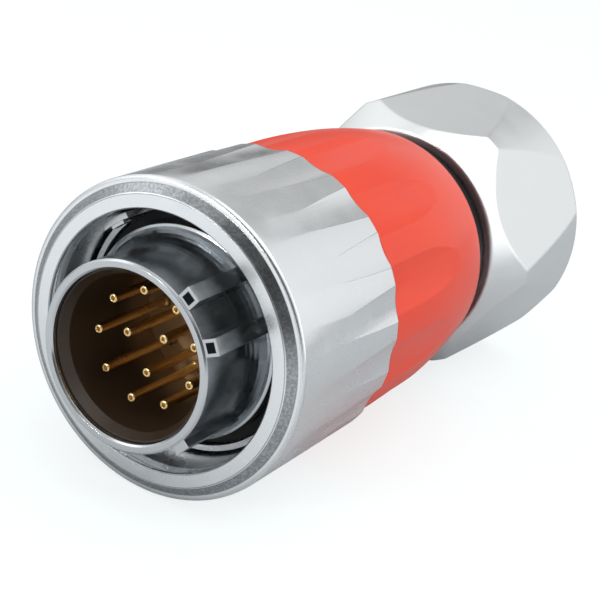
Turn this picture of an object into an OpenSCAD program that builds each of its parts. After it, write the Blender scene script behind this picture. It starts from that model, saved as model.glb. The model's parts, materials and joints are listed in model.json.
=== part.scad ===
// Push pull circular connector, cable plug with pin contacts.
// The plug lies along +Y: mating face at y = 0, cable end at the far end of the nut.
// Every piece is drawn along its own +Z and laid down by along_y().

/* [Mating barrel] */
// Outside diameter of the barrel that enters the socket
barrel_od = 19.2; // [18.8:0.1:19.4]
// Wall of the barrel
barrel_wall = 0.95; // [0.85:0.05:1.1]
// How far the barrel stands ahead of the sleeve
barrel_reach = 5.1; // [4.4:0.1:5.6]
// Outside diameter of the collar behind the barrel
collar_od = 22.2; // [22:0.1:22.4]
// Distance from the barrel's rim to the collar
collar_setback = 9.1; // [8.6:0.1:9.6]
// Reach along the barrel of the hollow flare that rises to the collar
flare_r = 3.4; // [2.4:0.1:3.8]
// Width of a key
key_width = 1.7; // [1.4:0.1:2]
// Height of a key above the barrel
key_height = 1.5; // [1.2:0.1:1.6]
// How far the keys start behind the barrel's rim
key_setback = 0.2; // [0.1:0.1:1.6]
// Height of the low key
low_key_height = 0.85; // [0.7:0.05:1]
// Clock positions of the two high keys, from the barrel's own top mark
key_clocks = [47.5, 75];
// Clock position of the low key
low_key_clock = 141; // [130:1:150]
// Turn of barrel and sleeve against the nut, whose flat the plug lies on
clocking = -12.7; // [-30:0.1:30]

/* [Barrel flange] */
// Length of the collar down to the floor of the mating slot
collar_len = 3.5; // [3.2:0.1:4]
// Length of the spigot that carries the latch ring
spigot_len = 1.4; // [1.2:0.1:1.8]
// Diameter of the spigot
spigot_od = 24.7; // [24.5:0.1:24.8]
// Length of the flange that the sleeve stops against
flange_len = 3.5; // [3:0.1:4]
// Outside diameter of the barrel's rear tube
tail_od = 23.8; // [23.4:0.1:23.8]
// Bore of the barrel's rear tube
tail_bore = 19.9; // [19.8:0.1:20.2]
// How far the rear tube runs into the rear body
tail_engage = 3; // [2.6:0.1:3.4]

/* [Coupling sleeve] */
// Outside diameter of the sleeve
sleeve_od = 33; // [32.8:0.1:33.6]
// Length of the sleeve
sleeve_len = 19.4; // [18:0.1:20]
// Bore of the sleeve
sleeve_bore = 26.7; // [26.6:0.1:27]
// Diameter at the outer edge of the flat front lip
lip_od = 29.7; // [29:0.1:30.2]
// Width of the dark bevel behind the lip, across the radius
bevel_width = 0.9; // [0.7:0.1:1.1]
// Depth of the bevel along the sleeve
bevel_depth = 0.7; // [0.5:0.1:1]
// Diameter of the relief groove for the latch lugs
relief_od = 28.2; // [27.8:0.1:28.4]
// Width of the relief groove
relief_width = 1.4; // [1.3:0.1:1.6]
// Length of the shoulder inside the sleeve
shoulder_len = 1.5; // [1.2:0.1:1.8]
// Bore behind the shoulder, round the return spring
spring_bore = 28; // [27.8:0.1:28.2]

/* [Grip flutes] */
// Number of flutes round the sleeve and the grip ring
flute_count = 20; // [16:1:24]
// Depth of a flute at the rear edge of the sleeve
flute_depth = 0.5; // [0.4:0.05:0.6]
// Radius across a flute's hollow
flute_r = 7; // [6:0.5:8]
// Distance from the lip to the flutes' pointed ends
flute_start = 3.5; // [3:0.1:5]
// Depth of a flute in the grip ring, which runs out on the ring's taper
grip_flute_depth = 0.5; // [0.4:0.05:0.6]

/* [Grip ring] */
// Outside diameter at the front edge
grip_od = 32.2; // [32:0.1:32.4]
// Outside diameter at the rear edge, before its rounding
grip_rear_od = 28; // [27.8:0.1:28.6]
// Length of the ring behind the sleeve
grip_len = 25.8; // [25:0.1:26.4]
// Length of the straight front part
grip_straight = 7; // [5:0.5:9]
// Bore of the grip ring
grip_bore = 28; // [27.8:0.1:28.2]
// Outside diameter of the tongue inside the sleeve
tongue_od = 29.9; // [29.6:0.1:30]
// Length of the tongue
tongue_len = 3.6; // [3:0.1:4]
// Rounding of the rear edge
grip_round = 1.6; // [1:0.1:1.8]
// Bore of the ring's narrow rear part, over the neck
grip_lip_bore = 26.6; // [26.5:0.1:26.8]
// Length of that part
grip_lip_len = 6; // [5.6:0.1:6.6]

/* [Latch ring] */
// Wall of the latch ring
latch_wall = 0.6; // [0.5:0.05:0.7]
// Length of the latch ring's band, from its rear edge
latch_band = 2.9; // [2.6:0.1:3.2]
// Number of latch fingers
latch_count = 3; // [3:1:3]
// Clock position of the first finger
latch_clock = -30; // [-60:1:0]
// Width of a finger
finger_width = 3.4; // [3:0.1:4]
// Length of a finger ahead of the band
finger_len = 3.6; // [3.4:0.1:3.8]
// Width of the lug on a finger
lug_width = 1.7; // [1.4:0.1:2]
// Length of the lug
lug_len = 1.1; // [0.9:0.1:1.2]
// Height of the lug, inwards
lug_height = 0.35; // [0.3:0.05:0.4]

/* [Contacts] */
// Diameter of a contact pin
pin_d = 1; // [0.9:0.05:1.1]
// Pitch circle of the outer ring of contacts
outer_pcd = 11.6; // [11.2:0.1:11.8]
// Contacts on the outer ring
outer_count = 9; // [9:1:9]
// Pitch circle of the inner contacts
inner_pcd = 5; // [4.8:0.1:5.4]
// Contacts on the inner ring
inner_count = 3; // [3:1:3]
// Clock position of the first inner contact
inner_clock = 60; // [40:1:80]
// Distance from the barrel's rim to the pin tips
pin_setback = 3.5; // [3:0.1:4.5]
// Diameter of the contact's body inside the insulator
pin_body_d = 1.3; // [1.2:0.05:1.4]
// How far that body stands out of the insulator's face
pin_foot = 0.5; // [0.4:0.1:0.8]
// Diameter of the shoulder that is held between the insulators
pin_shoulder_d = 2.2; // [2.1:0.1:2.5]
// Length of that shoulder
pin_shoulder_len = 1.6; // [1.2:0.1:2]
// Diameter of the solder cup
cup_d = 1.9; // [1.7:0.1:2]
// Length of the solder cup behind the rear insulator
cup_len = 4.2; // [3.6:0.1:4.6]

/* [Insulators] */
// Distance from the barrel's rim to the insulator's rim
liner_setback = 0.7; // [0.4:0.1:1.2]
// Wall of the insulator's lining
liner_wall = 0.75; // [0.6:0.05:0.9]
// Distance from the barrel's rim to the insulator's face
insert_face = 14.6; // [14:0.1:15]
// Distance from the barrel's rim to the step that the insulator seats on
insert_step = 19.5; // [19:0.1:19.9]
// Thickness of the insulator's flange behind the step
insert_flange = 1.5; // [1.3:0.1:1.8]
// Thickness of the rear insulator
rear_insulator_len = 3.2; // [2.8:0.1:3.6]
// Length of the ring that holds the insulators
insert_ring_len = 2.6; // [2.2:0.1:3]
// Bore of that ring
insert_ring_bore = 15.4; // [15.2:0.1:15.8]

/* [Spring] */
// Length of the return spring
spring_len = 8.2; // [8:0.1:9]
// Diameter of the spring's wire
spring_wire = 0.9; // [0.8:0.05:1]
// Turns of the spring
spring_turns = 5.5; // [4.5:0.5:6]
// Thickness of the spring washer
washer_t = 1; // [0.8:0.1:1.2]

/* [Rear body] */
// Outside diameter under the grip ring
body_od = 27.2; // [27:0.1:27.3]
// Outside diameter of the dark neck ahead of the nut
neck_od = 25.8; // [25.6:0.1:25.9]
// Crest diameter of the gland thread
thread_od = 24; // [23.8:0.1:24.2]
// Bore of the rear body
body_bore = 19.2; // [18.9:0.1:19.6]
// Diameter of the wire passage ahead of the seal's seat
wire_bore = 16; // [15:0.5:17]
// Length of the gland thread
thread_len = 12.2; // [11.8:0.1:12.6]
// Thickness of the O-ring between barrel and rear body
oring_d = 0.8; // [0.7:0.05:0.85]

/* [Cable gland] */
// Length of the nut
nut_len = 20.7; // [20:0.1:21.5]
// Width across the nut's flats at its front face
nut_flats = 29.2; // [29:0.1:29.8]
// Width across the flats at the rear face, where they run out into the round
nut_rear_flats = 33.2; // [32.8:0.1:33.4]
// Diameter over the nut's corners
nut_corners = 33.7; // [33:0.1:34]
// Diameter of the nut's front rim
nut_rim = 27.8; // [27:0.1:28.2]
// Length of the cone behind the front rim
nut_cone_len = 4.9; // [4:0.1:6]
// Diameter at the nut's rear edge
nut_rear_od = 31.6; // [31:0.1:32.6]
// Length of the rounded rear edge
nut_rear_len = 1.2; // [0.8:0.1:1.6]
// Thickness of the nut's rear wall
nut_wall = 1.4; // [1.2:0.1:1.8]
// Hole for the cable
cable_hole = 14; // [13:0.5:15]
// Gap between the grip ring and the nut
nut_gap = 2.5; // [2:0.1:2.8]
// Length of the cable seal
seal_len = 8; // [7:0.5:9]
// Bore of the cable seal
seal_bore = 10; // [8:0.5:11]
// Length of the clamp collet
collet_len = 5.4; // [5:0.1:5.8]
// Outside diameter of the collet
collet_od = 20.6; // [20.2:0.1:20.8]
// Bore of the collet
collet_bore = 13; // [12:0.5:14]
// Number of slots in the collet
collet_slots = 8; // [6:1:10]
// Thickness of the thrust ring
thrust_t = 0.9; // [0.8:0.1:1.1]
// Bore of the thrust ring
thrust_bore = 13.2; // [12:0.2:14]

/* [Clearances] */
// Clearance between faces that slide or turn on each other
run_gap = 0.3; // [0.25:0.05:0.35]
// Clearance between pieces that are pushed together
fit_gap = 0.05; // [0.03:0.01:0.08]

/* [Hidden] */
$fn = 64;
cut = 0.5;

silver = "#cfd3d6";
satin = "#9fa6ab";
black = "#1a1a1c";
red = "#e8402e";
gold = "#c9a04a";
umber = "#2c251f";

barrel_r = barrel_od / 2;
barrel_bore_r = barrel_r - barrel_wall;
collar_r = collar_od / 2;
spigot_r = spigot_od / 2;
tail_r = tail_od / 2;
tail_bore_r = tail_bore / 2;
sleeve_r = sleeve_od / 2;
sleeve_bore_r = sleeve_bore / 2;
lip_r = lip_od / 2;
grip_r = grip_od / 2;
grip_rear_r = grip_rear_od / 2;
body_r = body_od / 2;
neck_r = neck_od / 2;
thread_r = thread_od / 2;

// Stations along the plug, from the barrel's rim
slot_floor = collar_setback + collar_len;
flange_y = slot_floor + spigot_len;
flange_end = flange_y + flange_len;
shoulder_y = flange_end + run_gap;
spring_y = shoulder_y + shoulder_len;
washer_y = spring_y + spring_len + fit_gap;
body_y = washer_y + washer_t + fit_gap;
tail_end = body_y + tail_engage;
sleeve_end = barrel_reach + sleeve_len;
grip_end = sleeve_end + grip_len;
nut_y = grip_end + nut_gap;
neck_end = nut_y - run_gap;
neck_y = grip_end - grip_lip_len - run_gap;
thread_end = neck_end + thread_len;
nut_end = nut_y + nut_len;

latch_r = spigot_r + fit_gap;
latch_out_r = latch_r + latch_wall;
finger_y = flange_y - latch_band - finger_len;
travel = nut_gap - run_gap;
relief_y = finger_y + 0.15 - travel;
flute_pitch = 360 / flute_count;

insert_end = insert_step + insert_flange;
holder_y = insert_end + fit_gap;
holder_end = holder_y + rear_insulator_len;
ring_y = holder_end + fit_gap;
pin_shoulder_y = holder_y;
pin_shoulder_end = holder_y + pin_shoulder_len;
cup_end = holder_end + cup_len;

wall_y = nut_end - nut_wall;
thrust_y = wall_y - run_gap / 2 - thrust_t;
thrust_r = collet_od / 2 + run_gap + 0.3;
collet_end = thrust_y - run_gap;
collet_y = collet_end - collet_len;
seal_y = thread_end - seal_len;

// Lays a piece that is drawn along +Z down along +Y
module along_y() rotate([-90, 0, 0]) children();

// Turns a piece to a clock position, counted from the barrel's own top mark
module at_clock(a) rotate([0, 0, a + clocking - 90]) children();

// A tube from station y0 to y1
module tube(y0, y1, r_out, r_in) {
    translate([0, 0, y0]) difference() {
        cylinder(h = y1 - y0, r = r_out);
        translate([0, 0, -cut]) cylinder(h = y1 - y0 + 2 * cut, r = r_in);
    }
}

// Barrel profile: front rim, hollow flare, collar, spigot, flange and rear tube
module barrel_profile() {
    rim = 0.2;
    steps = 8;
    difference() {
        polygon(concat(
            [[barrel_bore_r, rim], [barrel_bore_r + rim, 0],
            [barrel_r - rim, 0], [barrel_r, rim]],
            // The flare leaves the barrel along its wall and meets the collar square
            [for (i = [0 : steps]) let (a = i * 90 / steps)
                [collar_r - (collar_r - barrel_r) * cos(a), collar_setback - flare_r * (1 - sin(a))]],
            [[collar_r, slot_floor], [spigot_r, slot_floor],
            [spigot_r, flange_y], [latch_out_r, flange_y],
            [latch_out_r, flange_end], [tail_r, flange_end],
            [tail_r, tail_end], [tail_bore_r, tail_end],
            [tail_bore_r, insert_step], [barrel_bore_r, insert_step]]));
        // Groove of the O-ring
        translate([tail_r - oring_d, body_y + 0.6]) square([oring_d + cut, oring_d + 0.4]);
    }
}

module key_bar(a, height) {
    root = 0.6;
    at_clock(a) translate([barrel_r - root, -key_width / 2, key_setback])
        cube([height + root, key_width, slot_floor - key_setback]);
}

module barrel_shell() {
    color(satin) along_y() difference() {
        union() {
            rotate_extrude() barrel_profile();
            intersection() {
                union() {
                    for (a = key_clocks) key_bar(a, key_height);
                    key_bar(low_key_clock, low_key_height);
                }
                cylinder(h = slot_floor, r = min(barrel_r + key_height, collar_r));
            }
        }
        // Keeps the roots of the keys out of the bore
        translate([0, 0, -cut]) cylinder(h = insert_step, r = barrel_bore_r);
    }
}

// Contact positions: outer ring first, then the inner three
function contact_clock(i) = i < outer_count
    ? i * 360 / outer_count
    : inner_clock + (i - outer_count) * 360 / inner_count;
function contact_r(i) = i < outer_count ? outer_pcd / 2 : inner_pcd / 2;

module at_contact(i) at_clock(contact_clock(i)) translate([contact_r(i), 0, 0]) children();

module insulator() {
    liner_r = barrel_bore_r - fit_gap;
    flange_r = tail_bore_r - fit_gap;
    lead_in = 1;
    rim = 0.15;
    color(umber) along_y() difference() {
        rotate_extrude() polygon([
            [0, insert_face], [liner_r - liner_wall, insert_face],
            [liner_r - liner_wall, liner_setback + lead_in], [liner_r - rim, liner_setback],
            [liner_r, liner_setback],
            [liner_r, insert_step + fit_gap], [flange_r, insert_step + fit_gap],
            [flange_r, insert_end], [0, insert_end]]);
        for (i = [0 : outer_count + inner_count - 1]) at_contact(i)
            translate([0, 0, insert_face - cut])
                cylinder(h = insert_end - insert_face + 2 * cut, r = pin_body_d / 2 + fit_gap);
    }
}

module rear_insulator() {
    color(umber) along_y() difference() {
        translate([0, 0, holder_y]) cylinder(h = rear_insulator_len, r = tail_bore_r - fit_gap);
        for (i = [0 : outer_count + inner_count - 1]) at_contact(i) {
            translate([0, 0, holder_y - cut])
                cylinder(h = rear_insulator_len + 2 * cut, r = cup_d / 2 + fit_gap);
            // Seat of the contact's shoulder
            translate([0, 0, holder_y - cut])
                cylinder(h = cut + pin_shoulder_len + fit_gap, r = pin_shoulder_d / 2 + fit_gap);
        }
    }
}

module insert_ring() {
    slot_w = 2;
    slot_d = 1.2;
    color(satin) along_y() difference() {
        tube(ring_y, ring_y + insert_ring_len, tail_bore_r - fit_gap, insert_ring_bore / 2);
        translate([-tail_bore_r, -slot_w / 2, ring_y + insert_ring_len - slot_d])
            cube([2 * tail_bore_r, slot_w, slot_d + cut]);
    }
}

// One turned contact: rounded tip, pin, thicker body, shoulder and solder cup
module contact_pin(i) {
    r = pin_d / 2;
    foot_y = insert_face - pin_foot;
    cup_r = cup_d / 2;
    nose = 0.14;
    dimple_r = 0.22;
    dimple_depth = 0.4;
    cup_depth = 2.8;
    cup_wall = 0.3;
    color(gold) along_y() at_contact(i) difference() {
        union() {
            rotate_extrude() polygon([
                [0, pin_setback], [r - nose, pin_setback],
                [r - nose * 0.4, pin_setback + nose * 0.3], [r, pin_setback + nose],
                [r, foot_y], [pin_body_d / 2, foot_y],
                [pin_body_d / 2, pin_shoulder_y], [pin_shoulder_d / 2, pin_shoulder_y],
                [pin_shoulder_d / 2, pin_shoulder_end], [cup_r, pin_shoulder_end],
                [cup_r, cup_end], [0, cup_end]]);
        }
        // Dimple in the tip
        translate([0, 0, pin_setback - cut]) cylinder(h = cut + dimple_depth, r = dimple_r);
        // Solder cup, open at the side
        translate([0, 0, cup_end - cup_depth]) cylinder(h = cup_depth + cut, r = cup_r - cup_wall);
        translate([0, -cup_r - cut, cup_end - cup_depth * 0.7])
            cube([2 * cup_r, 2 * cup_r + 2 * cut, cup_depth]);
    }
}

module front_seal() {
    seal_t = 0.8;
    color(black) along_y()
        tube(slot_floor - seal_t, slot_floor - 0.02, latch_r - 0.1, collar_r + fit_gap);
}

module shell_oring() {
    color(black) along_y() translate([0, 0, body_y + 0.6 + (oring_d + 0.4) / 2])
        rotate_extrude() translate([tail_r + fit_gap - oring_d / 2, 0])
            circle(r = oring_d / 2 - 0.02);
}

module latch_ring() {
    module wedge(a, w, y0, y1, r) {
        at_clock(a) translate([0, -w / 2, y0]) cube([r, w, y1 - y0]);
    }
    band_y = flange_y - latch_band;
    color(satin) along_y() {
        tube(band_y, flange_y - 0.02, latch_out_r, latch_r);
        for (k = [0 : latch_count - 1]) {
            a = latch_clock + k * 360 / latch_count;
            intersection() {
                tube(finger_y, band_y + cut, latch_out_r, latch_r);
                wedge(a, finger_width, finger_y, band_y + cut, 2 * latch_out_r);
            }
            intersection() {
                tube(finger_y, finger_y + lug_len + cut, latch_r + cut / 2, latch_r - lug_height);
                wedge(a, lug_width, finger_y + 0.15, finger_y + 0.15 + lug_len, 2 * latch_out_r);
            }
        }
    }
}

// Round wire wound as a coil, one ring of points after another
module coil(mean_r, wire_r, height, turns) {
    sides = 8;
    steps = 20;
    count = floor(turns * steps);
    rise = height - 2 * wire_r;
    points = [for (i = [0 : count]) for (j = [0 : sides - 1])
        let (a = i * turns * 360 / count, b = j * 360 / sides,
            r = mean_r + wire_r * cos(b))
        [r * cos(a), r * sin(a), wire_r + rise * i / count + wire_r * sin(b)]];
    sides_faces = [for (i = [0 : count - 1]) for (j = [0 : sides - 1])
        let (k = (j + 1) % sides)
        [i * sides + j, (i + 1) * sides + j, (i + 1) * sides + k, i * sides + k]];
    first = [for (j = [0 : sides - 1]) j];
    last = [for (j = [sides - 1 : -1 : 0]) count * sides + j];
    polyhedron(points = points, faces = concat(sides_faces, [first, last]), convexity = 10);
}

module return_spring() {
    mean_r = (tail_r + run_gap + spring_bore / 2) / 2;
    color(satin) along_y() translate([0, 0, spring_y + fit_gap / 2])
        coil(mean_r, spring_wire / 2, spring_len, spring_turns);
}

module spring_washer() {
    color(satin) along_y()
        tube(washer_y, washer_y + washer_t, body_r - run_gap / 2, tail_r + fit_gap);
}

module rear_body() {
    seat_r = body_bore / 2;
    tail_seat_r = tail_r + fit_gap;
    tail_floor = tail_end + fit_gap;
    bevel = 0.6;
    color(black) along_y() rotate_extrude() polygon([
        [tail_seat_r, body_y], [body_r, body_y],
        [body_r, neck_y - bevel], [neck_r, neck_y],
        [neck_r, neck_end], [thread_r, neck_end],
        [thread_r, thread_end - bevel], [thread_r - bevel, thread_end],
        [seat_r, thread_end], [seat_r, seal_y - fit_gap],
        [wire_bore / 2, seal_y - fit_gap], [wire_bore / 2, tail_floor + 2],
        [tail_bore_r, tail_floor + 2], [tail_bore_r, tail_floor],
        [tail_seat_r, tail_floor]]);
}

// Rubber grommet with a rib at each end of its bore
module cable_seal() {
    rib_t = 1.2;
    rib_h = 0.6;
    bore_r = seal_bore / 2;
    r = body_bore / 2 - fit_gap;
    color("#2b2d30") along_y() rotate_extrude() polygon([
        [bore_r, seal_y], [r, seal_y], [r, thread_end], [bore_r, thread_end],
        [bore_r, thread_end - rib_t], [bore_r + rib_h, thread_end - rib_t - rib_h],
        [bore_r + rib_h, seal_y + rib_t + rib_h], [bore_r, seal_y + rib_t]]);
}

module clamp_collet() {
    slot_w = 1;
    root = 1.6;
    nose = 1.2;
    r = collet_od / 2;
    color("#3a3d42") along_y() difference() {
        rotate_extrude() polygon([
            [collet_bore / 2, collet_y], [r, collet_y],
            [r, collet_end - nose], [r - nose, collet_end],
            [collet_bore / 2, collet_end]]);
        for (k = [0 : collet_slots - 1]) rotate([0, 0, k * 360 / collet_slots])
            translate([0, -slot_w / 2, collet_y + root])
                cube([2 * r, slot_w, collet_len]);
    }
}

// Outer form of the coupling sleeve, before its flutes
module sleeve_profile() {
    edge_r = lip_r + bevel_width;
    seat_r = tongue_od / 2 + fit_gap;
    front = barrel_reach;
    round_r = 0.5;
    steps = 4;
    polygon(concat(
        [[sleeve_bore_r + 0.1, front], [lip_r, front], [edge_r, front + bevel_depth]],
        [for (i = [0 : steps]) let (a = i * 90 / steps)
            [sleeve_r - round_r * (1 - sin(a)), front + bevel_depth + round_r * (1 - cos(a))]],
        [[sleeve_r, sleeve_end - 0.3], [sleeve_r - 0.3, sleeve_end],
        [seat_r, sleeve_end], [seat_r, sleeve_end - tongue_len - fit_gap],
        [spring_bore / 2, sleeve_end - tongue_len - fit_gap], [spring_bore / 2, spring_y],
        [tail_r + run_gap, spring_y], [tail_r + run_gap, shoulder_y],
        [sleeve_bore_r, shoulder_y], [sleeve_bore_r, relief_y + relief_width],
        [relief_od / 2, relief_y + relief_width], [relief_od / 2, relief_y],
        [sleeve_bore_r, relief_y], [sleeve_bore_r, front + 0.1]]));
}

// Slot-shaped space over one flute, so that neighbouring cutters stay apart
module flute_window(r, y0, y1) {
    reach = 0.6;
    half = (r + reach) * sin(flute_pitch / 2) * 0.97;
    translate([r - 1.5, -half, y0]) cube([1.5 + reach, 2 * half, y1 - y0]);
}

// A long round-bottomed cutter that leans into the sleeve towards its rear edge
module sleeve_flute() {
    start = barrel_reach + flute_start;
    run = sleeve_end - start;
    lean = atan(flute_depth / run);
    over = 2;
    nose = 0.2;
    intersection() {
        translate([sleeve_r + flute_r, 0, start]) rotate([0, -lean, 0])
            translate([0, 0, -over]) cylinder(h = run + 3 * over, r = flute_r);
        flute_window(sleeve_r, start + nose, sleeve_end + cut);
    }
}

module coupling_sleeve() {
    color(silver) along_y() difference() {
        rotate_extrude($fn = 96) sleeve_profile();
        for (k = [0 : flute_count - 1])
            at_clock((k + 0.5) * flute_pitch) sleeve_flute();
    }
}

// The grip ring's outside is straight in front and curves in towards the nut
module grip_profile() {
    front = sleeve_end + fit_gap;
    bend_y = sleeve_end + grip_straight;
    bend_len = grip_end - bend_y;
    drop = grip_r - grip_rear_r;
    chamfer = 0.3;
    steps = 6;
    difference() {
        polygon(concat(
            [[grip_lip_bore / 2, grip_end], [grip_lip_bore / 2, grip_end - grip_lip_len],
            [grip_bore / 2, grip_end - grip_lip_len], [grip_bore / 2, front - tongue_len],
            [tongue_od / 2, front - tongue_len], [tongue_od / 2, front],
            [grip_r - chamfer, front], [grip_r, front + chamfer]],
            [for (i = [0 : steps])
                [grip_r - drop * pow(i / steps, 2), bend_y + bend_len * i / steps]]));
        // Rounded rear edge
        translate([grip_rear_r - grip_round, grip_end - grip_round]) difference() {
            square(2 * grip_round);
            circle(r = grip_round);
        }
    }
}

// A straight round-bottomed cutter that runs out where the ring's taper is as low as its floor
module grip_flute() {
    nose = 0.3;
    bend_len = grip_len - grip_straight;
    run_out = grip_straight + bend_len * sqrt(grip_flute_depth / (grip_r - grip_rear_r));
    intersection() {
        translate([grip_r + flute_r - grip_flute_depth, 0, sleeve_end - cut])
            cylinder(h = run_out + 2 * cut, r = flute_r);
        flute_window(grip_r, sleeve_end - cut / 2, sleeve_end + run_out - nose);
    }
}

module grip_ring() {
    color(red) along_y() difference() {
        rotate_extrude($fn = 96) grip_profile();
        for (k = [0 : flute_count - 1])
            at_clock((k + 0.5) * flute_pitch) grip_flute();
    }
}

module thrust_ring() {
    color(satin) along_y() tube(thrust_y, thrust_y + thrust_t, thrust_r, thrust_bore / 2);
}

// Turned outer form that trims the hexagon
module nut_profile() {
    edge_r = nut_corners / 2;
    rear_r = nut_rear_od / 2;
    steps = 6;
    polygon(concat(
        [[0, nut_end], [0, nut_y], [nut_rim / 2, nut_y], [edge_r, nut_y + nut_cone_len]],
        [for (i = [0 : steps]) let (a = i * 90 / steps)
            [rear_r + (edge_r - rear_r) * cos(a), nut_end - nut_rear_len * (1 - sin(a))]]));
}

// Space over one flat, which rises towards the rear
module nut_flat() {
    rise = atan((nut_rear_flats - nut_flats) / 2 / nut_len);
    over = 2;
    width = nut_corners;
    translate([nut_flats / 2, -width / 2, nut_y]) rotate([0, rise, 0])
        translate([0, 0, -over]) cube([nut_corners, width, nut_len + 2 * over]);
}

module gland_nut() {
    bore_r = thread_r + run_gap;
    groove_y = thrust_y - run_gap / 2;
    groove_r = thrust_r + run_gap;
    collet_clear_r = collet_od / 2 + run_gap;
    bore_end = collet_y + run_gap;
    color(silver) along_y() difference() {
        rotate_extrude($fn = 96) nut_profile();
        for (k = [0 : 5]) rotate([0, 0, k * 60 + 30]) nut_flat();
        rotate_extrude() polygon([
            [0, nut_y - cut], [bore_r, nut_y - cut], [bore_r, bore_end],
            [collet_clear_r, bore_end], [collet_clear_r, groove_y],
            [groove_r, groove_y], [groove_r, wall_y], [0, wall_y]]);
        translate([0, 0, wall_y - cut]) cylinder(h = nut_wall + 2 * cut, r = cable_hole / 2);
    }
}

barrel_shell();
insulator();
rear_insulator();
insert_ring();
contact_pin(0);  // contact_pin_01
contact_pin(1);  // contact_pin_02
contact_pin(2);  // contact_pin_03
contact_pin(3);  // contact_pin_04
contact_pin(4);  // contact_pin_05
contact_pin(5);  // contact_pin_06
contact_pin(6);  // contact_pin_07
contact_pin(7);  // contact_pin_08
contact_pin(8);  // contact_pin_09
contact_pin(9);  // contact_pin_10
contact_pin(10);  // contact_pin_11
contact_pin(11);  // contact_pin_12
front_seal();
shell_oring();
latch_ring();
return_spring();
spring_washer();
rear_body();
cable_seal();
clamp_collet();
coupling_sleeve();
grip_ring();
thrust_ring();
gland_nut();
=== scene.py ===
import json
import math

import bpy
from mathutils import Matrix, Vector

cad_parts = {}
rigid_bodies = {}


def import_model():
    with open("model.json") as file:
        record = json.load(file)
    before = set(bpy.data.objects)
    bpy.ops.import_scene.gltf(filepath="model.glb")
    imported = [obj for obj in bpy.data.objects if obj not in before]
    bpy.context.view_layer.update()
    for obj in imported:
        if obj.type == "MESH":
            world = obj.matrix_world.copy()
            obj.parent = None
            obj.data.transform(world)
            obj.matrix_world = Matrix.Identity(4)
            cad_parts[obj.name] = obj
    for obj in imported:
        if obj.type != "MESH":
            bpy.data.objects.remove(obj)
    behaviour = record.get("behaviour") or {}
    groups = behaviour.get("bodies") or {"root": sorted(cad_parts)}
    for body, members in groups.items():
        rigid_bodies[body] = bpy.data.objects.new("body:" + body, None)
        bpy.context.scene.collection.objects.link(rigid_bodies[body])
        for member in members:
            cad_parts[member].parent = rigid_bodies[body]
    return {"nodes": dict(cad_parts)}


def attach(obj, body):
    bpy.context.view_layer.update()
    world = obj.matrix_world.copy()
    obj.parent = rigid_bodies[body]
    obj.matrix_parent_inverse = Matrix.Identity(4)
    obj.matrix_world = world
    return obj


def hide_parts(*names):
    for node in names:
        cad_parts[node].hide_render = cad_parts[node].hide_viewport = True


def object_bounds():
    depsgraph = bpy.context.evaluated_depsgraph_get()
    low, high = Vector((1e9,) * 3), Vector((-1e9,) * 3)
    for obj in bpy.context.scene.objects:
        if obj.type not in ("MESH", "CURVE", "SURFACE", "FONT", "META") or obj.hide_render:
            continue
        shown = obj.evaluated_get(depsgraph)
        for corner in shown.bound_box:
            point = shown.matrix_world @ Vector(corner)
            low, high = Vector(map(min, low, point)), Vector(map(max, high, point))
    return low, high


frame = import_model()
cadLow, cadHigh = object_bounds()
print("frame loaded,", len(frame["nodes"]), "nodes")

mm = 0.001
mergeDistance = 0.0005 * mm


# small helpers

# sRGB hex to the linear values that Blender's sockets take
def linearFromHex(code):
    values = []
    for i in (0, 2, 4):
        c = int(code[i:i + 2], 16) / 255
        values.append(c / 12.92 if c <= 0.04045 else ((c + 0.055) / 1.055) ** 2.4)
    return (*values, 1.0)


# one node with its settings, its fixed inputs and the sockets that feed it
def addNode(tree, kind, values=None, links=None, **settings):
    made = tree.nodes.new("ShaderNode" + kind)
    for name, value in settings.items():
        setattr(made, name, value)
    for name, value in (values or {}).items():
        made.inputs[name].default_value = value
    for name, source in (links or {}).items():
        tree.links.new(source, made.inputs[name])
    return made


def newMaterial(name):
    material = bpy.data.materials.new(name)
    material.use_nodes = True
    tree = material.node_tree
    tree.nodes.clear()
    return material, tree


def finishMaterial(tree, shader):
    addNode(tree, "OutputMaterial", links={"Surface": shader.outputs[0]})


def dress(node, material):
    mesh = frame["nodes"][node].data
    mesh.materials.clear()
    mesh.materials.append(material)


def deselectAll():
    for thing in bpy.context.view_layer.objects:
        thing.select_set(False)


def selectOnly(piece):
    deselectAll()
    piece.select_set(True)
    bpy.context.view_layer.objects.active = piece


# joins what lies in one place and turns every face outwards, from within edit mode
def cleanMesh():
    bpy.ops.mesh.select_all(action="SELECT")
    bpy.ops.mesh.remove_doubles(threshold=mergeDistance)
    bpy.ops.mesh.normals_make_consistent(inside=False)
    bpy.ops.object.mode_set(mode="OBJECT")


# camera: a long lens that looks into the mating end from the right and above

cameraLook = {
    "place": (71.79 * mm, -105.58 * mm, 62.87 * mm),
    "tilt": 66.74,
    "roll": -10.82,
    "turn": 31.98,
    "lens": 90,
    "sensor": 36,
    "nearest": 0.01,
}

bpy.ops.object.camera_add(
    location=cameraLook["place"],
    rotation=[math.radians(cameraLook[turn]) for turn in ("tilt", "roll", "turn")])
camera = bpy.context.object
camera.name = "camera"
camera.data.lens = cameraLook["lens"]
camera.data.sensor_width = cameraLook["sensor"]
camera.data.clip_start = cameraLook["nearest"]
bpy.context.scene.camera = camera
print("camera placed")


# masks and patches that finishes share

creaseLook = {"samples": 8, "flat": 0.998, "bent": 0.99}


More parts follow.
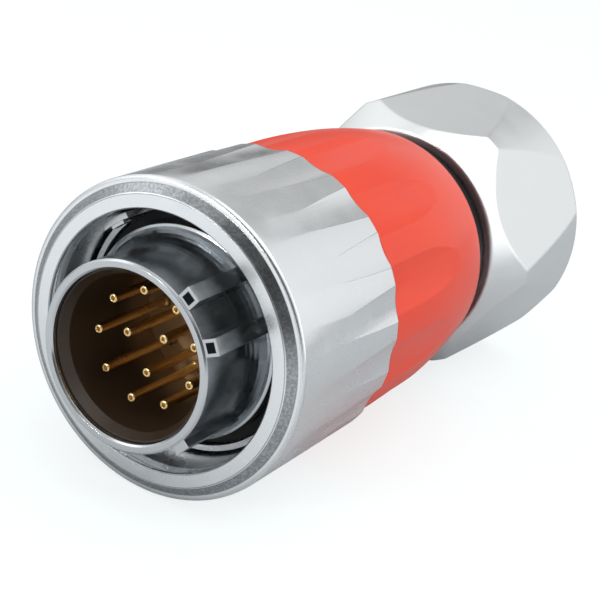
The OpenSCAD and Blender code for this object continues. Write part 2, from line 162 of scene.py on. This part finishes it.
# how far the rounded normal leans from the flat one: a little along a flute's crease
def creaseMask(tree, radiusMm, amount):
    rounded = addNode(tree, "Bevel", {"Radius": radiusMm * mm}, samples=creaseLook["samples"])
    flat = addNode(tree, "NewGeometry")
    along = addNode(tree, "VectorMath",
                    links={0: rounded.outputs["Normal"], 1: flat.outputs["Normal"]},
                    operation="DOT_PRODUCT")
    lean = addNode(tree, "MapRange",
                   {"From Min": creaseLook["flat"], "From Max": creaseLook["bent"],
                    "To Max": amount},
                   {"Value": along.outputs["Value"]}, interpolation_type="SMOOTHSTEP")
    return lean.outputs["Result"]


# 1 between two limits in mm, 0 outside
def between(tree, value, low, high):
    above = addNode(tree, "Math", {1: low * mm}, {0: value}, operation="GREATER_THAN")
    below = addNode(tree, "Math", {1: high * mm}, {0: value}, operation="LESS_THAN")
    return both(tree, above.outputs[0], below.outputs[0])


def both(tree, first, second):
    return addNode(tree, "Math", links={0: first, 1: second}, operation="MULTIPLY").outputs[0]


# 0 up to one place along the plug's axis and 1 from the next, both in mm
def fadeAlong(tree, place, startMm, endMm, kind="LINEAR"):
    axes = addNode(tree, "SeparateXYZ", links={0: place})
    fade = addNode(tree, "MapRange", {"From Min": startMm * mm, "From Max": endMm * mm},
                   {"Value": axes.outputs[1]}, interpolation_type=kind)
    return fade.outputs["Result"]


# lays another colour over the finish where the mask is 1
def addPatch(tree, shader, mask, colour):
    base = shader.inputs["Base Color"]
    patch = addNode(tree, "Mix", links={"Factor": mask}, data_type="RGBA")
    if base.is_linked:
        tree.links.new(base.links[0].from_socket, patch.inputs[6])
    else:
        patch.inputs[6].default_value = base.default_value
    patch.inputs[7].default_value = linearFromHex(colour)
    tree.links.new(patch.outputs[2], base)


surfaceLook = {"cloudLow": 0.3, "cloudHigh": 0.7, "fineDetail": 2.0, "grainDeepMm": 0.02}


# cloudy gloss and a fine grain over softly broken edges, for every solid finish
def addSurface(tree, look):
    place = addNode(tree, "TexCoord").outputs["Object"]
    cloud = addNode(tree, "TexNoise",
                    {"Scale": 1 / (look["cloudMm"] * mm), "Detail": look["cloudDetail"]},
                    {"Vector": place})
    sheen = addNode(tree, "MapRange",
                    {"From Min": surfaceLook["cloudLow"], "From Max": surfaceLook["cloudHigh"],
                     "To Min": look["roughness"] - look["shinier"],
                     "To Max": look["roughness"] + look["duller"]},
                    {"Value": cloud.outputs["Fac"]})
    grit = addNode(tree, "TexNoise",
                   {"Scale": 1 / (look["grainMm"] * mm), "Detail": surfaceLook["fineDetail"]},
                   {"Vector": place})
    edge = addNode(tree, "Bevel", {"Radius": look["roundMm"] * mm}, samples=look["edgeSamples"])
    bump = addNode(tree, "Bump",
                   {"Strength": look["grain"], "Distance": surfaceLook["grainDeepMm"] * mm},
                   {"Height": grit.outputs["Fac"], "Normal": edge.outputs["Normal"]})
    return place, cloud.outputs["Fac"], sheen.outputs["Result"], bump.outputs["Normal"]


# metals

# plated or bright metal: a satin skin with faint tumbling marks and, where a crease shade
# is given, a thin dark line of painted shade along each shallow crease
def makeMetal(name, look):
    material, tree = newMaterial(name)
    look = {"cloudMm": 4, "cloudDetail": 3.0, "shinier": 0.05, "duller": 0.06,
            "edgeSamples": 8, **look}
    place, cloud, sheen, normal = addSurface(tree, look)
    shader = addNode(tree, "BsdfPrincipled",
                     {"Metallic": 1.0, "Base Color": linearFromHex(look["colour"])},
                     {"Roughness": sheen, "Normal": normal})
    if "creaseShade" in look:
        # painted shade: a thin dark line laid along each crease
        creaseShadeMask = creaseMask(tree, look["creaseMm"], look["creaseShade"])
        addPatch(tree, shader, creaseShadeMask, look["creaseColour"])
    finishMaterial(tree, shader)
    return material, tree, place, shader


# satin nickel on the sleeve: pale, cool and soft, with painted shade in its flute creases; its
# front bevel band is painted darker and mottled as a painted dark reflection
sleeveFinish = {"colour": "E6E9EB", "roughness": 0.27, "grainMm": 0.12, "grain": 0.25,
                "roundMm": 0.12, "creaseShade": 0.75, "creaseMm": 0.11,
                "creaseColour": "3A3D40"}
bandLook = {"innerR": 14.92, "outerR": 15.8, "endY": 5.85, "colour": "8E9296",
            "speckMm": 0.25, "speckLow": 0.35, "speckHigh": 0.6, "faintest": 0.7}
satinNickel, tree, place, shader = makeMetal("satin_nickel", sleeveFinish)
axes = addNode(tree, "SeparateXYZ", links={0: place})
across = addNode(tree, "CombineXYZ", links={0: axes.outputs[0], 1: axes.outputs[2]})
reach = addNode(tree, "VectorMath", links={0: across.outputs[0]}, operation="LENGTH")
band = both(tree,
            between(tree, reach.outputs["Value"], bandLook["innerR"], bandLook["outerR"]),
            between(tree, axes.outputs[1], 0, bandLook["endY"]))
speck = addNode(tree, "TexNoise",
                {"Scale": 1 / (bandLook["speckMm"] * mm), "Detail": surfaceLook["fineDetail"]},
                {"Vector": place})
mottle = addNode(tree, "MapRange",
                 {"From Min": bandLook["speckLow"], "From Max": bandLook["speckHigh"],
                  "To Min": bandLook["faintest"]},
                 {"Value": speck.outputs["Fac"]})
# painted dark reflection: the bevel band's colour is darkened with a mottle
addPatch(tree, shader, both(tree, band, mottle.outputs["Result"]), bandLook["colour"])

# the same plate on the nut: as pale, a little duller and with rounder, tumbled edges
tumbledNickel = makeMetal("tumbled_nickel", {
    "colour": "E8EBEC", "roughness": 0.33, "grainMm": 0.14, "grain": 0.22, "roundMm": 0.6})[0]

# bright nickel inside the mating end: clear reflections that go dark in the slot, and painted
# shade on the ends of the two tall keys, standing in for a recess that is not modelled
keyLook = {"clocks": [34.8, 62.3], "half": 0.52, "innerR": 9.85, "outerR": 10.82,
           "frontY": -1, "endY": 0.25, "colour": "1A1C1E"}
darkNickel, tree, place, shader = makeMetal("dark_nickel", {
    "colour": "C2C6C9", "roughness": 0.2, "grainMm": 0.1, "grain": 0.15, "roundMm": 0.08})
for clock in keyLook["clocks"]:
    turned = addNode(tree, "Mapping", {"Rotation": (0, math.radians(-clock), 0)},
                     {"Vector": place})
    axes = addNode(tree, "SeparateXYZ", links={0: turned.outputs[0]})
    wide = between(tree, axes.outputs[0], -keyLook["half"], keyLook["half"])
    high = between(tree, axes.outputs[2], keyLook["innerR"], keyLook["outerR"])
    ends = between(tree, axes.outputs[1], keyLook["frontY"], keyLook["endY"])
    # painted shade: a near-black patch on each tall key's end face
    addPatch(tree, shader, both(tree, both(tree, wide, high), ends), keyLook["colour"])

# spring steel: a bright grey drawn wire look on the latch ring, the washers and the coil
springSteel = makeMetal("spring_steel", {
    "colour": "C4C6C8", "roughness": 0.24, "grainMm": 0.1, "grain": 0.2, "roundMm": 0.05})[0]

# hard gold on the contacts: a warm, slightly pale shine with a soft point of light at each tip
goldPlate = makeMetal("gold_plate", {
    "colour": "E8CA90", "roughness": 0.24, "grainMm": 0.08, "grain": 0.2, "roundMm": 0.05})[0]


# mouldings and rubber

# moulded plastic or rubber: a tone that drifts a little, a fine tooled skin and uneven gloss
def makePlastic(name, look):
    material, tree = newMaterial(name)
    look = {"cloudMm": 6, "cloudDetail": 2.0, "shinier": 0.03, "duller": 0.04,
            "edgeSamples": 6, "coat": 0.0, "coatRoughness": 0.06, "ior": 1.45, **look}
    place, cloud, sheen, normal = addSurface(tree, look)
    tone = addNode(tree, "Mix", links={"Factor": cloud}, data_type="RGBA")
    tone.inputs[6].default_value = linearFromHex(look["deepColour"])
    tone.inputs[7].default_value = linearFromHex(look["colour"])
    shader = addNode(tree, "BsdfPrincipled",
                     {"Coat Weight": look["coat"], "Coat Roughness": look["coatRoughness"],
                      "IOR": look["ior"]},
                     {"Base Color": tone.outputs[2], "Roughness": sheen, "Normal": normal})
    if "creaseShade" in look:
        # painted shade: the deep colour laid along each shallow crease
        creaseShadeMask = creaseMask(tree, look["creaseMm"], look["creaseShade"])
        addPatch(tree, shader, creaseShadeMask, look["deepColour"])
    finishMaterial(tree, shader)
    return material, tree, place, shader


# glossy red grip ring: a clear bright red with a wet shine, painted shade along its flute
# creases, and a darker red painted on its turned-in rear edge as painted shade
gripFinish = {"colour": "F8461E", "deepColour": "EC3814", "roughness": 0.34, "grainMm": 0.15,
              "grain": 0.05, "roundMm": 0.15, "coat": 0.08, "creaseShade": 0.6, "creaseMm": 0.16,
              "rearStart": 48.3, "rearEnd": 48.9, "rearShadeColour": "9A1410"}
redGloss, tree, place, shader = makePlastic("red_gloss", gripFinish)
# painted shade: the red darkens towards the ring's rear edge
addPatch(tree, shader, fadeAlong(tree, place, gripFinish["rearStart"], gripFinish["rearEnd"]),
         gripFinish["rearShadeColour"])

# dark brown insert round the contacts: near black on its wall as painted shade, lighter and
# warmer towards its floor as painted light
insertFinish = {"colour": "3A2C20", "deepColour": "30251C", "roughness": 0.34, "grainMm": 0.12,
                "grain": 0.1, "roundMm": 0.05, "floorStart": 9, "floorEnd": 14.6,
                "floorColour": "A8845C"}
umberMoulding, tree, place, shader = makePlastic("umber_moulding", insertFinish)
# painted light: the insert's colour lightens with depth towards its floor
addPatch(tree, shader,
         fadeAlong(tree, place, insertFinish["floorStart"], insertFinish["floorEnd"],
                   "SMOOTHSTEP"),
         insertFinish["floorColour"])

# black body between grip ring and nut: a deep even black with a dull gleam
blackMoulding = makePlastic("black_moulding", {
    "colour": "17171A", "deepColour": "121214", "roughness": 0.32,
    "grainMm": 0.12, "grain": 0.15, "roundMm": 0.1})[0]

# grey nylon collet: a dark waxy grey inside the nut's hole
greyNylon = makePlastic("grey_nylon", {
    "colour": "3C3F44", "deepColour": "33363A", "roughness": 0.42,
    "grainMm": 0.15, "grain": 0.2, "roundMm": 0.08})[0]

# dull rubber of the seals: black with hardly any shine
sealRubber = makePlastic("seal_rubber", {
    "colour": "17181A", "deepColour": "111213", "roughness": 0.6,
    "grainMm": 0.2, "grain": 0.35, "roundMm": 0.05})[0]

finishes = {
    "coupling_sleeve": satinNickel, "gland_nut": tumbledNickel,
    "barrel_shell": darkNickel, "insert_ring": darkNickel,
    "latch_ring": springSteel, "return_spring": springSteel,
    "spring_washer": springSteel, "thrust_ring": springSteel,
    "insulator": umberMoulding, "rear_insulator": umberMoulding,
    "grip_ring": redGloss, "rear_body": blackMoulding, "clamp_collet": greyNylon,
    "front_seal": sealRubber, "shell_oring": sealRubber, "cable_seal": sealRubber,
}
for node in frame["nodes"]:
    dress(node, finishes.get(node, goldPlate))
print("finishes given")


# turned pieces: one ring of points that is extruded, scaled and moved from station to station

def turnOnAxis(name, stations, segments):
    deselectAll()
    firstY, firstR = stations[0]
    bpy.ops.mesh.primitive_circle_add(
        vertices=segments, radius=firstR * mm,
        location=(0, firstY * mm, 0), rotation=(math.radians(90), 0, 0))
    piece = bpy.context.object
    piece.name = name
    bpy.ops.object.transform_apply(location=True, rotation=True, scale=True)
    bpy.ops.object.mode_set(mode="EDIT")
    bpy.ops.mesh.select_all(action="SELECT")
    atY, atR = firstY, firstR
    for y, r in list(stations[1:]) + [stations[0]]:
        bpy.ops.mesh.extrude_region_move()
        bpy.ops.transform.resize(value=(r / atR, 1, r / atR), center_override=(0, atY * mm, 0))
        bpy.ops.transform.translate(value=(0, (y - atY) * mm, 0))
        atY, atR = y, r
    cleanMesh()
    return piece


# one joined set of round-bottomed cutters along the axis, trimmed flat on their far sides;
# each leans so that its flute is deeper at the rear by the rise
def fluteCutters(look):
    deselectAll()
    length = look["endY"] - look["startY"]
    middle = (look["startY"] + look["endY"]) / 2
    lean = math.atan2(look["rise"], length)
    away = look["floorR"] + look["rise"] / 2 + look["hollowR"]
    bpy.ops.mesh.primitive_cylinder_add(
        vertices=look["sides"], radius=look["hollowR"] * mm,
        depth=(length + look["overrun"]) * mm,
        location=(away * mm, middle * mm, 0), rotation=(math.radians(90), 0, lean))
    first = bpy.context.object
    bpy.ops.object.transform_apply(location=True, rotation=True, scale=True)
    bpy.ops.object.mode_set(mode="EDIT")
    bpy.ops.mesh.select_all(action="SELECT")
    bpy.ops.mesh.bisect(plane_co=(look["trimR"] * mm, 0, 0), plane_no=(1, 0, 0),
                        use_fill=True, clear_outer=True)
    bpy.ops.object.mode_set(mode="OBJECT")
    cutters = []
    for k in range(look["count"]):
        cutter = first.copy()
        cutter.data = first.data.copy()
        bpy.context.collection.objects.link(cutter)
        clock = look["clock"] + k * 360 / look["count"]
        cutter.rotation_euler = (0, math.radians(clock - 90), 0)
        selectOnly(cutter)
        bpy.ops.object.transform_apply(location=False, rotation=True, scale=False)
        cutters.append(cutter)
    for cutter in cutters:
        cutter.select_set(True)
    bpy.context.view_layer.objects.active = cutters[0]
    bpy.ops.object.join()
    bpy.data.objects.remove(first)
    return bpy.context.object


def cutFlutes(piece, look):
    cutters = fluteCutters(look)
    selectOnly(piece)
    cut = piece.modifiers.new("flutes", "BOOLEAN")
    cut.operation = "DIFFERENCE"
    cut.object = cutters
    cut.solver = "EXACT"
    bpy.ops.object.modifier_apply(modifier=cut.name)
    bpy.data.objects.remove(cutters)
    bpy.ops.object.shade_smooth_by_angle(angle=math.radians(look["crease"]))


# coupling sleeve: a flat lip, a bevel band, a rounded rim and eighteen pointed flutes

sleeveLook = {
    "segments": 144, "boreR": 13.35, "lipR": 14.85, "bevelR": 15.75, "outR": 16.5,
    "frontY": 5.1, "endY": 24.5, "bevelDepth": 0.7, "rimRound": 0.5, "rimSteps": 6,
    "boreEase": 0.1, "lipEase": 0.06, "bevelEase": 0.05, "stepEase": 0.04,
    "rearEase": 0.25, "rearEaseMid": 0.07,
    "pocketR": 15.0, "pocketY": 20.85, "springR": 14.0, "shoulderR": 12.2,
    "shoulderY": 17.8, "shoulderEndY": 19.3,
    "grooveR": 14.1, "grooveY": 5.45, "grooveEndY": 6.85,
    "flutes": {"count": 18, "clock": 11.6, "hollowR": 7.0, "floorR": 16.1, "rise": 0.4,
               "startY": 8.4, "endY": 24.5, "overrun": 6, "trimR": 16.7, "sides": 128,
               "crease": 14},
}


def makeSleeve(look):
    front, end, out, bore = look["frontY"], look["endY"], look["outR"], look["boreR"]
    rimY = front + look["bevelDepth"]
    step = look["stepEase"]
    stations = [(front + look["boreEase"], bore), (front, bore + look["boreEase"]),
                (front, look["lipR"] - look["lipEase"]),
                (front + look["lipEase"], look["lipR"] + step),
                (rimY - look["bevelEase"], look["bevelR"] - step),
                (rimY, look["bevelR"] + step)]
    for i in range(look["rimSteps"] + 1):
        a = math.radians(i * 90 / look["rimSteps"])
        stations.append((rimY + look["rimRound"] * (1 - math.cos(a)),
                         out - look["rimRound"] * (1 - math.sin(a))))
    stations += [(end - look["rearEase"], out),
                 (end - look["rearEaseMid"], out - look["rearEaseMid"]),
                 (end, out - look["rearEase"]), (end, look["pocketR"]),
                 (look["pocketY"], look["pocketR"]), (look["pocketY"], look["springR"]),
                 (look["shoulderEndY"], look["springR"]),
                 (look["shoulderEndY"], look["shoulderR"]),
                 (look["shoulderY"], look["shoulderR"]), (look["shoulderY"], bore),
                 (look["grooveEndY"], bore), (look["grooveEndY"], look["grooveR"]),
                 (look["grooveY"], look["grooveR"]), (look["grooveY"], bore)]
    sleeve = turnOnAxis("fluted_sleeve", stations, look["segments"])
    cutFlutes(sleeve, look["flutes"])
    sleeve.data.materials.append(satinNickel)
    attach(sleeve, "coupling")
    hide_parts("coupling_sleeve")


makeSleeve(sleeveLook)
print("coupling sleeve made")


# grip ring: straight in front, then drawn in towards the nut, with twelve round-ended flutes

gripLook = {
    "segments": 144, "outR": 16.1, "rearR": 14.0, "boreR": 14.0, "lipBoreR": 13.3,
    "tongueR": 14.95, "tongueLen": 3.6, "frontY": 24.55, "straight": 6.95, "bends": 16,
    "ledgeY": 48.7, "endY": 50.3, "frontEase": 0.2, "frontEaseMid": 0.06,
    "round": 1.6, "roundTurn": 66, "roundSteps": 8, "roundGap": 0.06, "roundLift": 0.02,
    "lipY": 44.3, "lipEndY": 50.0,
    "flutes": {"count": 12, "clock": 7.5, "hollowR": 12.0, "floorR": 15.6, "rise": 0.0,
               "startY": 27.0, "endY": 40.0, "overrun": 6, "trimR": 16.28, "sides": 128,
               "crease": 14},
}


def makeGrip(look):
    front, out, rear = look["frontY"], look["outR"], look["rearR"]
    tongueY = front - look["tongueLen"]
    bendY = front + look["straight"]
    reach = look["endY"] - bendY
    stations = [(look["lipY"], look["boreR"]), (tongueY, look["boreR"]),
                (tongueY, look["tongueR"]), (front, look["tongueR"]),
                (front, out - look["frontEase"]),
                (front + look["frontEaseMid"], out - look["frontEaseMid"]),
                (front + look["frontEase"], out)]
    for i in range(look["bends"] + 1):
        y = bendY + (look["ledgeY"] - bendY) * i / look["bends"]
        stations.append((y, out - (out - rear) * ((y - bendY) / reach) ** 2))
    for i in range(look["roundSteps"] + 1):
        a = math.radians(i * look["roundTurn"] / look["roundSteps"])
        stations.append((look["ledgeY"] + look["roundGap"] + look["round"] * math.sin(a),
                         rear - look["round"] * (1 - math.cos(a)) + look["roundLift"]))
    stations += [(look["lipEndY"], look["lipBoreR"]), (look["lipY"], look["lipBoreR"])]
    grip = turnOnAxis("fluted_grip", stations, look["segments"])
    cutFlutes(grip, look["flutes"])
    grip.data.materials.append(redGloss)
    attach(grip, "coupling")
    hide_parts("grip_ring")


makeGrip(gripLook)
print("grip ring made")


# gland thread: a rolled ridge that winds round the black body under the nut

threadLook = {"rootR": 11.97, "crestR": 12.2, "pitch": 1.5, "startY": 53.6, "turns": 6,
              "width": 1.1, "crestShare": 0.35, "steps": 64, "crease": 25}


def makeThread(look):
    deselectAll()
    bpy.ops.mesh.primitive_plane_add(size=1)
    thread = bpy.context.object
    thread.name = "gland_thread"
    root = look["width"] / 2
    crest = root * look["crestShare"]
    corners = [(look["rootR"], -root), (look["crestR"], -crest),
               (look["rootR"], root), (look["crestR"], crest)]
    for vertex, (r, y) in zip(thread.data.vertices, corners):
        vertex.co = (0, (look["startY"] + y) * mm, r * mm)
    wind = thread.modifiers.new("wind", "SCREW")
    wind.axis = "Y"
    wind.screw_offset = look["pitch"] * mm
    wind.iterations = look["turns"]
    wind.steps = wind.render_steps = look["steps"]
    wind.use_merge_vertices = False
    bpy.ops.object.modifier_apply(modifier=wind.name)
    bpy.ops.object.mode_set(mode="EDIT")
    cleanMesh()
    bpy.ops.object.shade_smooth_by_angle(angle=math.radians(look["crease"]))
    thread.data.materials.append(blackMoulding)
    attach(thread, "plug_core")


makeThread(threadLook)
print("gland thread made")


# floor, background and light

stageLook = {
    "floorZ": cadLow[2] - 0.05 * mm,
    "floorSize": 4.0,
    "floorColour": "8A9698",
    "litColour": "C4C7C9",
    "glow": 0.76,
    "mirroredGlow": 0.3,
    "aheadFrom": 10 * mm,
    "aheadTo": -30 * mm,
}

# white paper that keeps the shadow: it glows for the camera, and a little in the metal where
# it lies ahead of the plug
deselectAll()
bpy.ops.mesh.primitive_plane_add(size=stageLook["floorSize"],
                                 location=(0, 0, stageLook["floorZ"]))
floor = bpy.context.object
floor.name = "floor"
floorPaper, tree = newMaterial("floor_paper")
rays = addNode(tree, "LightPath")
shade = addNode(tree, "Mix", links={"Factor": rays.outputs["Is Camera Ray"]}, data_type="RGBA")
shade.inputs[6].default_value = linearFromHex(stageLook["litColour"])
shade.inputs[7].default_value = linearFromHex(stageLook["floorColour"])
paper = addNode(tree, "BsdfDiffuse", links={"Color": shade.outputs[2]})
inView = addNode(tree, "Math", {1: stageLook["glow"]}, {0: rays.outputs["Is Camera Ray"]},
                 operation="MULTIPLY")
axes = addNode(tree, "SeparateXYZ", links={0: addNode(tree, "TexCoord").outputs["Object"]})
ahead = addNode(tree, "MapRange",
                {"From Min": stageLook["aheadFrom"], "From Max": stageLook["aheadTo"],
                 "To Max": stageLook["mirroredGlow"]},
                {"Value": axes.outputs[1]})
inMetal = both(tree, rays.outputs["Is Glossy Ray"], ahead.outputs["Result"])
amount = addNode(tree, "Math", links={0: inView.outputs[0], 1: inMetal}, operation="ADD")
glow = addNode(tree, "Emission", {"Color": (1, 1, 1, 1)}, {"Strength": amount.outputs[0]})
lit = addNode(tree, "AddShader", links={0: paper.outputs[0], 1: glow.outputs[0]})
finishMaterial(tree, lit)
floor.data.materials.append(floorPaper)

# what the metal mirrors: a pale room with a light wall on the right and a light panel high on
# the left, dim patches behind the plug, and a dark opening in front, where the camera stands
roomLook = {
    "level": 0.79,
    "diffuse": 0.66,
    "backdrop": 1.0,
    "cards": [
        {"toward": (0.85, 0.45, 0.05), "near": 0.92, "far": 0.2, "level": 0.95},
        {"toward": (-0.78, 0.12, 0.60), "near": 0.97, "far": 0.80, "level": 1.1},
        {"toward": (-0.60, 0.79, -0.05), "near": 0.98, "far": 0.90, "level": 0.15},
        {"toward": (-0.12, 0.79, 0.59), "near": 0.985, "far": 0.93, "level": 0.5},
        {"toward": (0.12, -0.88, 0.42), "near": 0.97, "far": 0.88, "level": 0.03},
        {"toward": (0.62, -0.77, 0.20), "near": 0.97, "far": 0.86, "level": 0.10},
    ],
}

world = bpy.data.worlds.new("studio")
bpy.context.scene.world = world
world.use_nodes = True
tree = world.node_tree
tree.nodes.clear()
rays = addNode(tree, "LightPath")
direction = addNode(tree, "TexCoord")
level = addNode(tree, "Value").outputs[0]
level.default_value = roomLook["level"]
for card in roomLook["cards"]:
    toward = addNode(tree, "VectorMath", links={0: direction.outputs["Generated"]},
                     operation="DOT_PRODUCT")
    toward.inputs[1].default_value = Vector(card["toward"]).normalized()
    reach = addNode(tree, "MapRange", {"From Min": card["far"], "From Max": card["near"]},
                    {"Value": toward.outputs["Value"]}, interpolation_type="SMOOTHSTEP")
    mixed = addNode(tree, "Mix", links={0: reach.outputs["Result"], 2: level},
                    data_type="FLOAT")
    mixed.inputs[3].default_value = card["level"]
    level = mixed.outputs[0]
white = (1, 1, 1, 1)
mirrored = addNode(tree, "Background", {"Color": white}, {"Strength": level})
soft = addNode(tree, "Background", {"Color": white, "Strength": roomLook["diffuse"]})
clear = addNode(tree, "Background", {"Color": white, "Strength": roomLook["backdrop"]})
glossy = addNode(tree, "MixShader",
                 links={0: rays.outputs["Is Glossy Ray"], 1: soft.outputs[0],
                        2: mirrored.outputs[0]})
seen = addNode(tree, "MixShader",
               links={0: rays.outputs["Is Camera Ray"], 1: glossy.outputs[0],
                      2: clear.outputs[0]})
addNode(tree, "OutputWorld", links={"Surface": seen.outputs[0]})

lampLook = [
    {"name": "key_lamp", "place": (0.12, 0.02, 0.42), "size": 0.50, "power": 0.7},
    {"name": "side_lamp", "place": (0.42, 0.10, 0.16), "size": 0.40, "power": 0.25},
    {"name": "left_lamp", "place": (-0.35, -0.20, 0.25), "size": 0.25, "power": 0.15},
    {"name": "front_lamp", "place": (-0.16, -0.43, 0.11), "size": 0.06, "power": 0.7},
]
plugMiddle = Vector((0, 0.035, 0))
for look in lampLook:
    deselectAll()
    bpy.ops.object.light_add(type="AREA", location=look["place"])
    lamp = bpy.context.object
    lamp.name = look["name"]
    lamp.data.shape = "DISK"
    lamp.data.size = look["size"]
    lamp.data.energy = look["power"]
    aim = plugMiddle - Vector(look["place"])
    lamp.rotation_euler = aim.to_track_quat("-Z", "Y").to_euler()

bpy.context.scene.view_settings.view_transform = "Standard"
print("stage and light set")
